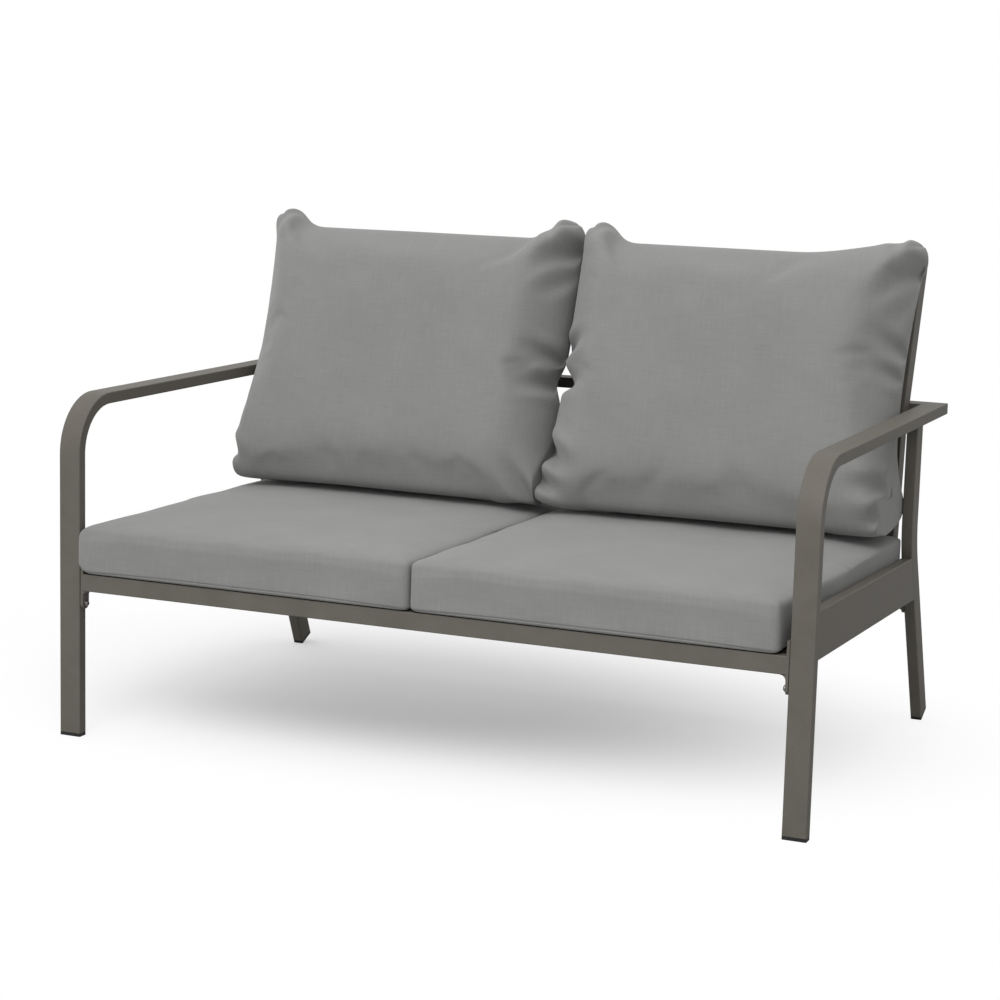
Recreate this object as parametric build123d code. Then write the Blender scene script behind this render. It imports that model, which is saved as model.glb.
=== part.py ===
"""Patio loveseat: two welded tube side frames joined by a back rail, a bolted seat frame and backrest frame,
two boxed seat cushions and two loose back cushions.

Millimetres, Z up, the front faces -Y, and left and right are those of someone looking at the front.
Everything is drawn with the front faces of the front legs at Y = 0 and moved at the end, so that the
origin lies on the floor under the middle of the loveseat.
"""
from build123d import *
import math
import os

# Overall sizes of the tube frame
frame_width = 1350.0
arm_height = 596.0
arm_length = 825.0

# Flat aluminium tube that arms, legs, back rail and backrest are cut from
tube_wide = 40.0
tube_thin = 20.0
tube_wall = 2.0
tube_edge = 2.0
arm_bend = 100.0

# Rear legs: upright above the seat, splayed back below it
rear_leg_inset = 139.0
kink_height = 352.0
rear_splay = 24.0
rear_bend = 220.0

# Side rails between the legs
side_rail_tall = 80.0
side_rail_height = 269.0
side_rail_fall = 1.7

# Plastic end caps under the legs
cap_base = 6.0
cap_plug = 24.0
cap_plug_wall = 2.5
cap_fit = 0.1

# Seat frame, drawn flat and then tipped back by seat_fall about its front top edge
seat_height = 290.0
seat_front = 2.0
seat_fall = 0.7
seat_rail_tall = 30.0
seat_rail_deep = 20.0
seat_rail_wall = 1.8
rear_rail_setback = 56.0
end_plate_thick = 4.5
end_plate_drop = 32.0
end_plate_rise = 24.0
end_plate_round = 9.5
end_plate_gusset = 9.0
slat_thick = 10.0
slat_wide = 45.0
slat_wall = 1.5
slat_count = 7
slat_first = 62.0
slat_post_gap = 15.0
slat_overhang = 6.0

# Backrest frame, drawn flat in its own plane and leaned back by back_lean; below their knees the posts run
# down more steeply to just before the seat's rear rail
back_lean = 18.9
back_top = 836.0
back_side_gap = 20.0
back_rail_gap = 0.5
lower_rail_height = 520.0
post_knee_height = 555.0
post_bend = 120.0
post_rail_gap = 1.0
back_slat_wide = 30.0
back_slat_thick = 12.0
back_slat_count = 9
tab_thick = 5.0
tab_wide = 30.0
tab_end = 12.0

# Bolts, washers and blind rivet nuts
bolt_size = 6.0
bolt_head = 11.0
bolt_head_tall = 4.0
bolt_socket = 4.0
bolt_socket_deep = 2.2
bolt_long = 18.0
thread_fit = 0.1
hole_play = 0.5
washer_size = 12.0
washer_thick = 1.0
insert_size = 9.0
insert_flange = 12.0
insert_flange_thick = 1.0
insert_long = 13.0
post_plug_long = 22.0

# Seat cushions
cushion_play = 0.3
seat_cushion_thick = 89.5
seat_cushion_crown = 5.5
seat_cushion_overhang = 5.0
seat_cushion_split = -9.0
seat_cushion_end_gap = 16.5
seat_cushion_corner = 22.0
seat_cushion_waist = 3.0
seat_cushion_roll = 16.0
seat_cushion_draw = 9.0
seam_inset = 2.0
seam_tall = 7.0

# Back cushions
back_cushion_past = 18.0
back_cushion_arm_gap = 5.0
back_cushion_tall = 544.0
back_cushion_half = 92.0
back_cushion_corner = 16.0
back_cushion_dip = 26.0
back_cushion_gap = 6.0

# Outlines of a back cushion from its back to its front: distance from the seam, how far its lower edge stands
# above the seat, and how far its sides and top are drawn in, all as shares of half the thickness
back_cushion_shares = (
    (-1.00, 1.00, 1.40),
    (-0.91, 0.42, 0.98),
    (-0.76, 0.13, 0.72),
    (-0.54, 0.03, 0.43),
    (-0.30, 0.01, 0.20),
    (0.00, 0.01, 0.00),
    (0.20, 0.01, 0.13),
    (0.39, 0.01, 0.28),
    (0.54, 0.03, 0.41),
    (0.74, 0.26, 0.72),
    (0.90, 0.72, 1.13),
    (1.00, 1.95, 1.92),
)
back_waist_share = 0.4
corner_growth_share = 0.4

# Length by which cutting solids run past what they cut
overrun = 60.0

inner_face = frame_width / 2 - tube_wide
side_frame_x = inner_face + tube_thin / 2
arm_x = frame_width / 2 - tube_wide / 2
arm_underside = arm_height - tube_thin
rear_leg_front = arm_length - rear_leg_inset
rear_rail_front = rear_leg_front + rear_rail_setback
back_rail_front = arm_length - tube_wide
rear_leg_y = rear_leg_front + tube_wide / 2
rail_half = inner_face - insert_flange_thick - end_plate_thick
post_outer = inner_face - back_side_gap
seat_cushion_right = inner_face - seat_cushion_end_gap
back_cushion_wide = inner_face + back_cushion_past - back_cushion_gap / 2
back_cushion_waist = back_cushion_past + back_cushion_arm_gap
back_cushion_seam = tube_wide + cushion_play + back_cushion_half
seat_cushion_level = seat_cushion_thick + seat_cushion_crown + 2 * cushion_play


def sine(degrees):
    return math.sin(math.radians(degrees))


def cosine(degrees):
    return math.cos(math.radians(degrees))


def tangent(degrees):
    return math.tan(math.radians(degrees))


# Below the kink the rear leg's axis runs down and back until its square-cut end stands on its front edge.
rear_leg_run = (kink_height - tube_wide / 2 * sine(rear_splay)) / cosine(rear_splay)
rear_foot_y = rear_leg_y + rear_leg_run * sine(rear_splay)
rear_foot_z = kink_height - rear_leg_run * cosine(rear_splay)
depth_front = -seat_cushion_overhang
depth_back = rear_foot_y + tube_wide / 2 * cosine(rear_splay)
depth_middle = (depth_front + depth_back) / 2

# Local frames of the tipped seat and the leaning backrest
seat_plane = Plane(
    origin=(0, seat_front, seat_height),
    x_dir=(1, 0, 0),
    z_dir=(0, sine(seat_fall), cosine(seat_fall)),
)
back_plane = Plane(
    origin=(0, back_rail_front - back_rail_gap, arm_height),
    x_dir=(1, 0, 0),
    z_dir=(0, -cosine(back_lean), sine(back_lean)),
)
back_plane_top = (back_top - arm_height) / cosine(back_lean)


def tube_section(across, along, wall=tube_wall, edge=tube_edge):
    """Hollow rectangular section with rounded outer corners."""
    return RectangleRounded(across, along, edge) - Rectangle(across - 2 * wall, along - 2 * wall)


def slat_section(across, along):
    """Hollow rectangular section with sharp edges."""
    return Rectangle(across, along) - Rectangle(across - 2 * slat_wall, along - 2 * slat_wall)


def straight_tube(start, end, across_dir, section):
    """Section carried straight from start to end, its first side along across_dir."""
    run = Vector(*end) - Vector(*start)
    plane = Plane(origin=start, x_dir=across_dir, z_dir=run.normalized())
    return extrude(plane * section, run.length)


def bent_tube(points, radius, section):
    """Section carried along straight runs joined by one tangent bend, all in an upright plane."""
    run = Vector(*points[1]) - Vector(*points[0])
    plane = Plane(origin=points[0], x_dir=(1, 0, 0), z_dir=run.normalized())
    return sweep(plane * section, path=FilletPolyline(*points, radius=radius))


def cutter(point, normal):
    """Half space on the side of point that normal shows, large enough for the whole loveseat."""
    plane = Plane(origin=point, z_dir=normal)
    return extrude(plane * Rectangle(4 * frame_width, 4 * frame_width), 4 * frame_width)


def rod(start, direction, radius, length):
    plane = Plane(origin=start, z_dir=direction)
    return extrude(plane * Circle(radius), length)


def in_place(shape, name):
    """Move a finished piece so that the origin lies under the middle of the loveseat, and write its file."""
    moved = Pos(0, -depth_middle, 0) * shape
    solids = moved.solids()
    whole = solids[0] if len(solids) == 1 else Compound(children=list(solids))
    whole.label = name
    export_step(whole, f"parts/{name}.step")


def arm_mitre(side, keep_arm):
    """Half space past the mitre where an arm meets the back rail."""
    corner = (side * inner_face, back_rail_front, arm_height)
    sign = 1 if keep_arm else -1
    return cutter(corner, (-side * sign, sign, 0))


def front_bolt_centre():
    """Centre of the bolt through the front end plate, on the legs' inner face."""
    return seat_plane.from_local_coords((0, seat_rail_deep / 2, end_bolt_z()))


def end_bolt_z():
    return -seat_rail_tall - end_plate_drop + end_plate_round


def rear_bolt_centre():
    """Centre of the bolt through the rear end plate."""
    y = rear_rail_front - seat_front + seat_rail_deep / 2
    return seat_plane.from_local_coords((0, y, end_bolt_z()))


def insert_hole(side, centre):
    """Hole for a blind rivet nut through the inner wall of a leg."""
    start = (side * (inner_face - overrun), centre.Y, centre.Z)
    return rod(start, (side, 0, 0), insert_size / 2, overrun + tube_wall + cap_fit)


def arm_leg(side):
    """Front leg and arm from one tube bent over at the front and mitred at the back."""
    x = side * arm_x
    y = tube_thin / 2
    z = arm_height - tube_thin / 2
    points = [(x, y, cap_base), (x, y, z), (x, arm_length, z)]
    tube = bent_tube(points, arm_bend - tube_thin / 2, tube_section(tube_wide, tube_thin))
    return tube - arm_mitre(side, True) - insert_hole(side, front_bolt_centre())


def rear_leg_points(side, foot_cut):
    """Axis of a rear leg from the arm's underside to foot_cut short of its end."""
    x = side * side_frame_x
    foot_y = rear_foot_y - foot_cut * sine(rear_splay)
    foot_z = rear_foot_z + foot_cut * cosine(rear_splay)
    return [(x, rear_leg_y, arm_underside), (x, rear_leg_y, kink_height), (x, foot_y, foot_z)]


def rear_leg(side):
    tube = bent_tube(rear_leg_points(side, cap_base), rear_bend, tube_section(tube_thin, tube_wide))
    return tube - insert_hole(side, rear_bolt_centre())


def side_rail(side):
    """Tall rail between the legs, falling a little to the back and coped to the rear leg's front face."""
    fall = (0, cosine(side_rail_fall), -sine(side_rail_fall))
    middle = side_rail_height + side_rail_tall / 2
    start = Vector(side * side_frame_x, tube_thin, middle) - Vector(*fall) * overrun
    end = start + Vector(*fall) * (rear_foot_y + overrun)
    rail = straight_tube(tuple(start), tuple(end), (1, 0, 0), tube_section(tube_thin, side_rail_tall))
    rail -= cutter((0, tube_thin, 0), (0, -1, 0))
    envelope = Rectangle(tube_thin + overrun, tube_wide)
    rail -= bent_tube(rear_leg_points(side, 0), rear_bend, envelope)
    return min(rail.solids(), key=lambda piece: piece.center().Y)


def back_rail():
    """Flat tube behind the backrest, mitred to both arms, with a rivet nut hole over each backrest tab."""
    y = arm_length - tube_wide / 2
    z = arm_height - tube_thin / 2
    half = frame_width / 2
    rail = straight_tube((-half, y, z), (half, y, z), (0, 1, 0), tube_section(tube_wide, tube_thin))
    for side in (-1, 1):
        rail -= arm_mitre(side, False)
        x, hole_y = tab_bolt_place(side)
        rail -= rod((x, hole_y, arm_underside - overrun), (0, 0, 1), insert_size / 2, overrun + tube_wall + cap_fit)
    return rail


def end_cap(across, along):
    """Moulded cap: a base as large as the tube's end and a ribbed hollow plug that goes up into it."""
    base = extrude(RectangleRounded(across, along, tube_edge), cap_base)
    bore_across = across - 2 * tube_wall - 2 * cap_fit
    bore_along = along - 2 * tube_wall - 2 * cap_fit
    plug = Rectangle(bore_across, bore_along)
    plug -= Rectangle(bore_across - 2 * cap_plug_wall, bore_along - 2 * cap_plug_wall)
    return base + Pos(0, 0, cap_base) * extrude(plug, cap_plug)


def front_cap(side):
    return Pos(side * arm_x, tube_thin / 2, 0) * end_cap(tube_wide, tube_thin)


def rear_cap(side):
    up = (0, -sine(rear_splay), cosine(rear_splay))
    plane = Plane(origin=(side * side_frame_x, rear_foot_y, rear_foot_z), x_dir=(1, 0, 0), z_dir=up)
    return plane * end_cap(tube_thin, tube_wide)


def seat_rail(y_start):
    """Cross rail of the seat frame in the seat's own frame, its top at zero."""
    y = y_start + seat_rail_deep / 2
    z = -seat_rail_tall / 2
    section = tube_section(seat_rail_deep, seat_rail_tall, seat_rail_wall)
    return straight_tube((-rail_half, y, z), (rail_half, y, z), (0, 1, 0), section)


def seat_bar(x_middle):
    """Bar from front to back under the slats."""
    z = -slat_thick - tube_thin / 2
    start = (x_middle, seat_rail_deep, z)
    end = (x_middle, rear_rail_front - seat_front, z)
    return straight_tube(start, end, (1, 0, 0), tube_section(tube_wide, tube_thin, seat_rail_wall))


def seat_end_bar(side):
    return seat_bar(side * (rail_half - tube_wide / 2))


def seat_slat(y_middle):
    """Flat tube across the bars, its top level with the rails."""
    half = rail_half - slat_overhang
    section = slat_section(slat_wide, slat_thick)
    z = -slat_thick / 2
    return straight_tube((-half, y_middle, z), (half, y_middle, z), (0, 1, 0), section)


def seat_slats():
    """Slats evenly spaced from the front to just before the posts' feet."""
    slat_last = post_foot_front() - slat_wide / 2 - slat_post_gap
    pitch = (slat_last - slat_first) / (slat_count - 1)
    return [seat_slat(slat_first + i * pitch) for i in range(slat_count)]


def end_plate(side, y_start):
    """Plate on a rail's end: round at its lower end, with a gusset curved into the rail's underside."""
    low = -seat_rail_tall - end_plate_drop
    tall = end_plate_rise - low
    outline = Pos(seat_rail_deep / 2, tall / 2 + low) * Rectangle(seat_rail_deep, tall)
    lower = outline.vertices().sort_by(Axis.Y)[:2]
    outline = fillet(lower, end_plate_round)
    outline -= Pos(seat_rail_deep / 2, end_bolt_z()) * Circle((bolt_size + hole_play) / 2)
    plane = Plane(origin=(side * rail_half, y_start, 0), x_dir=(0, 1, 0), z_dir=(1, 0, 0))
    plate = extrude(plane * outline, side * end_plate_thick)
    corner = Rectangle(end_plate_gusset, end_plate_gusset, align=(Align.MAX, Align.MAX))
    corner -= Pos(-end_plate_gusset, -end_plate_gusset) * Circle(end_plate_gusset)
    gusset_plane = Plane(
        origin=(side * rail_half, y_start + (seat_rail_deep if side < 0 else 0), -seat_rail_tall),
        x_dir=(side, 0, 0),
        z_dir=(0, -side, 0),
    )
    gusset = extrude(gusset_plane * corner, -seat_rail_deep)
    return plate + gusset


def on_seat(shape):
    return seat_plane.location * shape


def bolt(start, direction, length):
    """Button head bolt with a hex socket; start is the centre of the head's underside."""
    plane = Plane(origin=start, z_dir=direction)
    head = Pos(0, 0, -bolt_head_tall) * extrude(Circle(bolt_head / 2), bolt_head_tall)
    head = chamfer(head.edges().sort_by(Axis.Z)[0], bolt_head_tall / 2)
    socket = Pos(0, 0, -bolt_head_tall) * extrude(RegularPolygon(bolt_socket / 2, 6), bolt_socket_deep)
    return plane * (head - socket + extrude(Circle(bolt_size / 2), length))


def washer(start, direction):
    """Washer whose face towards the bolt's head is centred on start."""
    ring = Circle(washer_size / 2) - Circle((bolt_size + hole_play) / 2)
    return Plane(origin=start, z_dir=direction) * extrude(ring, washer_thick)


def rivet_nut(start, direction):
    """Blind rivet nut: flange before start, body beyond it."""
    bore = Circle(bolt_size / 2 + thread_fit)
    flange = extrude(Circle(insert_flange / 2) - bore, -insert_flange_thick)
    body = extrude(Circle(insert_size / 2 - cap_fit) - bore, insert_long)
    return Plane(origin=start, z_dir=direction) * (flange + body)


def end_bolt_sets():
    """Bolts, washers and rivet nuts that hold the seat frame's four end plates to the legs."""
    bolts, washers, nuts = [], [], []
    for side in (-1, 1):
        for centre in (front_bolt_centre(), rear_bolt_centre()):
            out = (side, 0, 0)
            head_x = side * (rail_half - washer_thick)
            bolts.append(bolt((head_x, centre.Y, centre.Z), out, bolt_long))
            washers.append(washer((head_x, centre.Y, centre.Z), out))
            nuts.append(rivet_nut((side * inner_face, centre.Y, centre.Z), out))
    return bolts, washers, nuts


def post_knee():
    """Where the axis of a post bends, in the plane X = 0."""
    v = (post_knee_height - arm_height) / cosine(back_lean)
    return back_plane.from_local_coords((0, v, tube_wide / 2))


def post_foot():
    """Where the axis of a post meets the end bar's top, in the plane X = 0."""
    y = rear_rail_front - seat_front - post_rail_gap - tube_wide / 2
    return seat_plane.from_local_coords((0, y, -slat_thick))


def foot_lean():
    """Lean of the posts below their knees, measured from the seat's upright."""
    run = post_knee() - post_foot()
    return math.degrees(math.atan2(run.Y, run.Z)) + seat_fall


def post_foot_front():
    """Y of a post's front face where it stands on the end bar, in the seat's frame."""
    return seat_plane.to_local_coords(post_foot()).Y - tube_wide / 2 / cosine(foot_lean())


def back_post(side):
    """Leaning post of the backrest, mitred at the top, bent at its knee and standing on the seat's end bar."""
    x = Vector(side * (post_outer - tube_thin / 2), 0, 0)
    top = back_plane.from_local_coords((0, back_plane_top, tube_wide / 2))
    low = post_foot() + (post_foot() - post_knee()).normalized() * overrun
    post = bent_tube([x + top, x + post_knee(), x + low], post_bend, tube_section(tube_thin, tube_wide))
    post -= back_plane.location * back_mitre(side, True)
    return post - cutter(tuple(post_foot()), tuple(-seat_plane.z_dir))


def back_mitre(side, keep_post):
    """Half space past the mitre where a post meets the top rail, in the backrest's frame."""
    corner = (side * (post_outer - tube_thin), back_plane_top - tube_thin, 0)
    sign = 1 if keep_post else -1
    return cutter(corner, (-side * sign, sign, 0))


def back_top_rail():
    v = back_plane_top - tube_thin / 2
    t = tube_wide / 2
    section = tube_section(tube_thin, tube_wide)
    rail = straight_tube((-post_outer, v, t), (post_outer, v, t), (0, 1, 0), section)
    for side in (-1, 1):
        rail -= back_mitre(side, False)
    return back_plane.location * rail


def lower_rail_v():
    return (lower_rail_height - arm_height) / cosine(back_lean)


def back_lower_rail():
    half = post_outer - tube_thin
    v = lower_rail_v()
    t = tube_wide / 2
    section = tube_section(tube_thin, tube_wide)
    return back_plane.location * straight_tube((-half, v, t), (half, v, t), (0, 1, 0), section)


def back_slats():
    """Upright flat tubes between the lower and the top rail, evenly spaced."""
    low = lower_rail_v() + tube_thin / 2
    high = back_plane_top - tube_thin
    t = tube_wide / 2
    pitch = 2 * (post_outer - tube_thin) / (back_slat_count + 1)
    section = slat_section(back_slat_wide, back_slat_thick)
    slats = []
    for i in range(back_slat_count):
        x = (i - (back_slat_count - 1) / 2) * pitch
        slats.append(back_plane.location * straight_tube((x, low, t), (x, high, t), (1, 0, 0), section))
    return slats


def tab_bolt_place(side):
    """X and Y of the bolt through a backrest tab."""
    return side * (post_outer - tube_thin / 2), arm_length - tab_end - insert_flange / 2


def tab_top():
    return arm_underside - insert_flange_thick


def back_tab(side):
    """Flat tab welded to a post's rear face, reaching under the back rail."""
    x, bolt_y = tab_bolt_place(side)
    top = tab_top()
    end = arm_length - tab_end / 2
    length = end - rear_leg_front
    tab = Pos(x, end - length / 2, top - tab_thick / 2) * Box(tab_wide, length, tab_thick)
    tab -= rod((x, bolt_y, top - overrun), (0, 0, 1), (bolt_size + hole_play) / 2, 2 * overrun)
    return tab - cutter(tuple(back_plane.origin), tuple(back_plane.z_dir))


def tab_bolt_sets():
    """Bolts, washers and rivet nuts that hold the tabs up to the back rail."""
    bolts, washers, nuts = [], [], []
    for side in (-1, 1):
        x, y = tab_bolt_place(side)
        under = tab_top() - tab_thick - washer_thick
        bolts.append(bolt((x, y, under), (0, 0, 1), bolt_long))
        washers.append(washer((x, y, under), (0, 0, 1)))
        nuts.append(rivet_nut((x, y, arm_underside), (0, 0, 1)))
    return bolts, washers, nuts


def seat_line(t, level):
    """How far up the backrest's lean the plane at level above the seat is met, at distance t from its back."""
    up = seat_plane.z_dir
    rise = level - (back_plane.origin - seat_plane.origin).dot(up) - t * back_plane.z_dir.dot(up)
    return rise / back_plane.y_dir.dot(up)


def post_bolt_y():
    """Y of the bolt up through a post's foot, in the seat's frame."""
    return seat_plane.to_local_coords(post_foot()).Y + post_plug_long / 2 * tangent(foot_lean())


def post_plug(side):
    """Threaded block in a post's foot that takes the bolt from below."""
    x = side * (post_outer - tube_thin / 2)
    across = tube_thin - 2 * tube_wall - 2 * cap_fit
    along = (tube_wide - 2 * tube_wall - 2 * cap_fit) * cosine(foot_lean()) - post_plug_long * sine(foot_lean())
    block = Box(across, along, post_plug_long, align=(Align.CENTER, Align.CENTER, Align.MIN))
    block -= rod((0, 0, 0), (0, 0, 1), bolt_size / 2 + thread_fit, post_plug_long)
    return on_seat(Pos(x, post_bolt_y(), -slat_thick) * block)


def foot_bolt_sets():
    """Bolts and washers that come up through the end bars into the posts' plugs."""
    bolts, washers = [], []
    under = -slat_thick - tube_thin - washer_thick
    for side in (-1, 1):
        x = side * (post_outer - tube_thin / 2)
        place = (x, post_bolt_y(), under)
        bolts.append(on_seat(bolt(place, (0, 0, 1), tube_thin + post_plug_long)))
        washers.append(on_seat(washer(place, (0, 0, 1))))
    return bolts, washers


def bar_with_hole(side):
    """End bar with the hole that its post's bolt goes up through."""
    x = side * (post_outer - tube_thin / 2)
    hole = rod((x, post_bolt_y(), -overrun), (0, 0, 1), (bolt_size + hole_play) / 2, 2 * overrun)
    return seat_end_bar(side) - hole


def waisted_outline(wide, low, high, corner, waist_share, slopes):
    """Closed outline with twice-cut corners. Its sides run in to a waist, at waist_share of the way up them, by
    the left and right slope, and its top runs down to its middle by the third slope."""
    left, right, top = slopes
    w = wide / 2
    cut = corner * (1 - math.sqrt(1 / 2))
    side = high - low - 2 * corner
    waist = low + corner + waist_share * side
    return make_face(Polyline(
        (w - corner, low),
        (w - cut, low + cut),
        (w, low + corner),
        (w - right * side, waist),
        (w, high - corner),
        (w - cut, high - cut),
        (w - corner, high),
        (0, high - top * (w - corner)),
        (corner - w, high),
        (cut - w, high - cut),
        (-w, high - corner),
        (left * side - w, waist),
        (-w, low + corner),
        (cut - w, low + cut),
        (corner - w, low),
        close=True,
    ))


def seat_cushion(x_low, x_high):
    """Boxed cushion: a seam low on its sides, a rolled top edge and a crowned top."""
    wide = x_high - x_low
    long = post_foot_front() - cushion_play + seat_front + seat_cushion_overhang
    dome = min(wide, long) / 5
    thick = seat_cushion_thick
    roll = seat_cushion_roll
    levels = [
        (0, seat_cushion_draw),
        (seam_tall / 2, seam_inset),
        (seam_tall, seat_cushion_waist),
        (thick / 2, 0),
        (thick - roll, seam_inset / 2),
        (thick - roll / 3, roll / 3),
        (thick, roll + seam_inset),
        (thick + seat_cushion_crown * 3 / 4, dome),
        (thick + seat_cushion_crown, 2 * dome),
    ]
    slope = seat_cushion_waist / (long - 2 * seat_cushion_corner)
    sections = []
    for z, inset in levels:
        half = long / 2 - inset
        outline = waisted_outline(wide - 2 * inset, -half, half, seat_cushion_corner, 1 / 2, (slope, slope, 0))
        sections.append(Plane(origin=((x_low + x_high) / 2, 0, z)) * outline)
    cushion = loft(sections, ruled=True)
    y = long / 2 - seat_cushion_overhang - seat_front
    return on_seat(Pos(0, y, cushion_play) * cushion)


def back_cushion(side):
    """Loose-filled knife-edge cushion on its lower edge: flat against the posts and spread on the seat. Its inner
    side is straight, where it leans against its neighbour."""
    half = back_cushion_half
    seam = back_cushion_seam
    level = seat_cushion_level
    top = seat_line(seam, level) + back_cushion_tall
    slope = back_cushion_waist / (back_cushion_tall - 2 * back_cushion_corner)
    slopes = (slope * max(-side, 0), slope * max(side, 0), 2 * back_cushion_dip / back_cushion_wide)
    sections = []
    for depth, rise, inset in back_cushion_shares:
        t = seam + depth * half
        outline = waisted_outline(
            back_cushion_wide - 2 * inset * half,
            seat_line(t, level) + rise * half,
            top - inset * half,
            back_cushion_corner + inset * half * corner_growth_share,
            back_waist_share,
            slopes,
        )
        sections.append(Plane(origin=(0, 0, t)) * outline)
    cushion = loft(sections, ruled=True)
    x = side * (back_cushion_gap + back_cushion_wide) / 2
    return back_plane.location * Pos(x, 0, 0) * cushion


def build():
    os.makedirs("parts", exist_ok=True)
    for side, word in ((-1, "left"), (1, "right")):
        in_place(arm_leg(side), f"{word}_arm_leg")
        in_place(rear_leg(side), f"{word}_rear_leg")
        in_place(side_rail(side), f"{word}_side_rail")
        in_place(front_cap(side), f"{word}_front_cap")
        in_place(rear_cap(side), f"{word}_rear_cap")
        in_place(on_seat(bar_with_hole(side)), f"{word}_seat_end_bar")
        in_place(back_post(side), f"{word}_back_post")
        in_place(back_tab(side), f"{word}_back_tab")
        in_place(post_plug(side), f"{word}_post_plug")
        in_place(back_cushion(side), f"{word}_back_cushion")
    in_place(back_rail(), "back_rail")
    in_place(on_seat(seat_rail(0)), "seat_front_rail")
    in_place(on_seat(seat_rail(rear_rail_front - seat_front)), "seat_rear_rail")
    in_place(on_seat(seat_bar(0)), "seat_centre_bar")
    in_place(on_seat(Compound(children=seat_slats())), "seat_slats")
    front_plates = [end_plate(side, 0) for side in (-1, 1)]
    rear_plates = [end_plate(side, rear_rail_front - seat_front) for side in (-1, 1)]
    in_place(on_seat(Compound(children=front_plates)), "front_end_plates")
    in_place(on_seat(Compound(children=rear_plates)), "rear_end_plates")
    bolts, washers, nuts = end_bolt_sets()
    in_place(Compound(children=bolts), "seat_bolts")
    in_place(Compound(children=washers), "seat_washers")
    in_place(Compound(children=nuts), "seat_rivet_nuts")
    in_place(back_top_rail(), "back_top_rail")
    in_place(back_lower_rail(), "back_lower_rail")
    in_place(Compound(children=back_slats()), "back_slats")
    bolts, washers, nuts = tab_bolt_sets()
    in_place(Compound(children=bolts), "tab_bolts")
    in_place(Compound(children=washers), "tab_washers")
    in_place(Compound(children=nuts), "tab_rivet_nuts")
    bolts, washers = foot_bolt_sets()
    in_place(Compound(children=bolts), "post_bolts")
    in_place(Compound(children=washers), "post_washers")
    in_place(seat_cushion(cushion_play - rail_half, seat_cushion_split), "left_seat_cushion")
    in_place(seat_cushion(seat_cushion_split + cushion_play, seat_cushion_right), "right_seat_cushion")


build()
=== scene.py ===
"""Looks of the patio loveseat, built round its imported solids. Metres, Z up, the front faces -Y."""

import math

import bpy
import numpy as np
from mathutils import Matrix, Vector


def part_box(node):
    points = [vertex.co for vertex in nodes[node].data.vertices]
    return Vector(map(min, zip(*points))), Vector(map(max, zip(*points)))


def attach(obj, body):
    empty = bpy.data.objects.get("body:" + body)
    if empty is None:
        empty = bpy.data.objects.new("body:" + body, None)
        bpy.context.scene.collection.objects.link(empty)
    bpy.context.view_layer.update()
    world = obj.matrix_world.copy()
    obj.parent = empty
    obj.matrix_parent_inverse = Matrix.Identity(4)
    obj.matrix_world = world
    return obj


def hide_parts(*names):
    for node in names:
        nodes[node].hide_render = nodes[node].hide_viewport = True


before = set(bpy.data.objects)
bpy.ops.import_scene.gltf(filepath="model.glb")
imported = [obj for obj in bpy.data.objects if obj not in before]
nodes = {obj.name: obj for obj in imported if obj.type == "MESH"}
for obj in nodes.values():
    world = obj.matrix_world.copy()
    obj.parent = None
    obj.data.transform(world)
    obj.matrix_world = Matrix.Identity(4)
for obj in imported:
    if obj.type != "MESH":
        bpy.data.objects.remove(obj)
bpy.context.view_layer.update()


# Tube frame: flat aluminium tube, sawn, bent and welded, then powder coated in one go in a warm dark grey.
# The coat is matt and slightly pebbled, and hides every joint but the mitres and the edges of the plates.
COAT_GREY = "65615A"
COAT_SHADE = "5D5952"
COAT_PEBBLE = 0.0011
PEBBLE_HIGH = 0.0002
COAT_FLOW = 0.045
COAT_TONES = (0.12, 0.38)
COAT_ROUGHNESS = (0.50, 0.64)


def linear(hex_colour):
    """sRGB hex to linear RGBA: a dark channel is divided by 12.92, and any other one plus 0.055 is divided
    by 1.055 and raised to the power 2.4."""
    channels = [int(hex_colour[i:i + 2], 16) / 255 for i in (0, 2, 4)]
    return [c / 12.92 if c <= 0.04045 else ((c + 0.055) / 1.055) ** 2.4 for c in channels] + [1.0]


def add(material, kind, inputs=None, **settings):
    """Adds a node: settings are its own properties, inputs its sockets by name or number, each a value or
    an output to link."""
    tree = material.node_tree
    made = tree.nodes.new(kind)
    for key, value in settings.items():
        setattr(made, key, value)
    for key, value in (inputs or {}).items():
        if isinstance(value, bpy.types.NodeSocket):
            tree.links.new(value, made.inputs[key])
        else:
            made.inputs[key].default_value = value
    return made


def new_material(name):
    """A material with an empty node tree."""
    material = bpy.data.materials.new(name)
    material.use_nodes = True
    material.node_tree.nodes.clear()
    return material


def surface(material, shader):
    """Joins a shader's output to the material's surface."""
    add(material, "ShaderNodeOutputMaterial", {"Surface": shader.outputs[0]})


def clad(names, material):
    """Gives the solids of these names one material."""
    for name in names:
        nodes[name].data.materials.clear()
        nodes[name].data.materials.append(material)


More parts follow.
